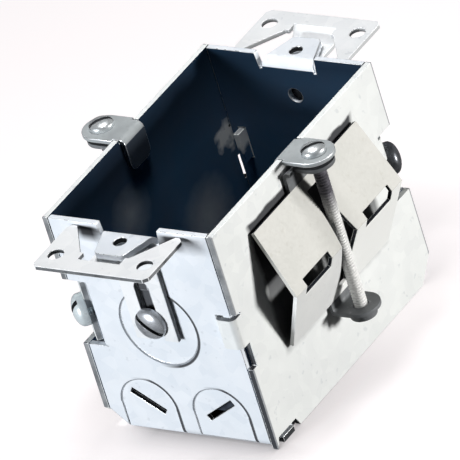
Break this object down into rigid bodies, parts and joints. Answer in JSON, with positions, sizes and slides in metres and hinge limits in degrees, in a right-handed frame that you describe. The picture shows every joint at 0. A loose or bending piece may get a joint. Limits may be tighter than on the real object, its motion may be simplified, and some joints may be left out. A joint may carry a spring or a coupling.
{
  "type": "switch box",
  "caption": "Open-front folded steel switch box with hooked side panels, device tabs, sliding plaster ears, inside cable clamps and screw-driven side grips that fold outwards.",
  "frame": {"origin": "under the centre of the back, on the surface the box lies on", "axes": "+Y along the box from one device tab to the other, +Z out of the open front, +X across"},
  "size_m": [0.0744, 0.1122, 0.0658],
  "materials": {
    "box_sheet": "galvanized sheet",
    "ear_sheet": "galvanized sheet",
    "grip_sheet": "zinc plated, satin",
    "screw_steel": "zinc plated"
  },
  "bodies": {
    "box": {"box_body": "box_sheet", "right_side_panel": "box_sheet", "left_side_panel": "box_sheet", "far_gang_screw": "screw_steel", "near_gang_screw": "screw_steel", "far_ear_screw": "screw_steel", "near_ear_screw": "screw_steel", "right_grip_strap": "grip_sheet", "left_grip_strap": "grip_sheet", "right_grip_collar": "grip_sheet", "left_grip_collar": "grip_sheet"},
    "right_screw": {"right_grip_screw": "screw_steel"},
    "right_upper_legs": {"right_grip_upper_legs": "grip_sheet"},
    "right_lower_legs": {"right_grip_lower_legs": "grip_sheet"},
    "right_foot": {"right_grip_foot": "grip_sheet"},
    "left_screw": {"left_grip_screw": "screw_steel"},
    "left_upper_legs": {"left_grip_upper_legs": "grip_sheet"},
    "left_lower_legs": {"left_grip_lower_legs": "grip_sheet"},
    "left_foot": {"left_grip_foot": "grip_sheet"},
    "far_ear": {"far_ear": "ear_sheet"},
    "near_ear": {"near_ear": "ear_sheet"},
    "far_clamp": {"far_clamp": "box_sheet", "far_clamp_screw": "screw_steel"},
    "near_clamp": {"near_clamp": "box_sheet", "near_clamp_screw": "screw_steel"}
  },
  "joints": [
    {"name": "right_grip_screw_turn", "type": "hinge", "parent": "box", "child": "right_screw", "pos_m": [0.0319, 0, 0.0635], "axis": [0, 0, -1], "range_deg": [0, 9015.9]},
    {"name": "right_grip_top_fold", "type": "hinge", "parent": "box", "child": "right_upper_legs", "pos_m": [0.0268, 0, 0.0555], "axis": [0, -1, 0], "range_deg": [0, 45]},
    {"name": "right_grip_middle_fold", "type": "hinge", "parent": "right_upper_legs", "child": "right_lower_legs", "pos_m": [0.03361, 0, 0.03799], "axis": [0, -1, 0], "range_deg": [-90, 0]},
    {"name": "right_grip_foot_fold", "type": "hinge", "parent": "right_lower_legs", "child": "right_foot", "pos_m": [0.0268, 0, 0.02049], "axis": [0, -1, 0], "range_deg": [0, 45]},
    {"name": "left_grip_screw_turn", "type": "hinge", "parent": "box", "child": "left_screw", "pos_m": [-0.0319, 0, 0.0635], "axis": [0, 0, -1], "range_deg": [0, 9015.9]},
    {"name": "left_grip_top_fold", "type": "hinge", "parent": "box", "child": "left_upper_legs", "pos_m": [-0.0268, 0, 0.0555], "axis": [0, 1, 0], "range_deg": [0, 45]},
    {"name": "left_grip_middle_fold", "type": "hinge", "parent": "left_upper_legs", "child": "left_lower_legs", "pos_m": [-0.03361, 0, 0.03799], "axis": [0, 1, 0], "range_deg": [-90, 0]},
    {"name": "left_grip_foot_fold", "type": "hinge", "parent": "left_lower_legs", "child": "left_foot", "pos_m": [-0.0268, 0, 0.02049], "axis": [0, 1, 0], "range_deg": [0, 45]},
    {"name": "far_ear_slide", "type": "slide", "parent": "box", "child": "far_ear", "axis": [0, 0, 1], "range_m": [-0.01, 0]},
    {"name": "near_ear_slide", "type": "slide", "parent": "box", "child": "near_ear", "axis": [0, 0, 1], "range_m": [-0.01, 0]},
    {"name": "far_clamp_lift", "type": "slide", "parent": "box", "child": "far_clamp", "axis": [0, 0, 1], "range_m": [0, 0.003]},
    {"name": "near_clamp_lift", "type": "slide", "parent": "box", "child": "near_clamp", "axis": [0, 0, 1], "range_m": [0, 0.003]}
  ],
  "couplings": [
    {"joint": "right_grip_top_fold", "follows": "right_grip_screw_turn", "ratio": 0.0049912},
    {"joint": "right_grip_middle_fold", "follows": "right_grip_screw_turn", "ratio": -0.0099824},
    {"joint": "right_grip_foot_fold", "follows": "right_grip_screw_turn", "ratio": 0.0049912},
    {"joint": "left_grip_top_fold", "follows": "left_grip_screw_turn", "ratio": 0.0049912},
    {"joint": "left_grip_middle_fold", "follows": "left_grip_screw_turn", "ratio": -0.0099824},
    {"joint": "left_grip_foot_fold", "follows": "left_grip_screw_turn", "ratio": 0.0049912}
  ]
}
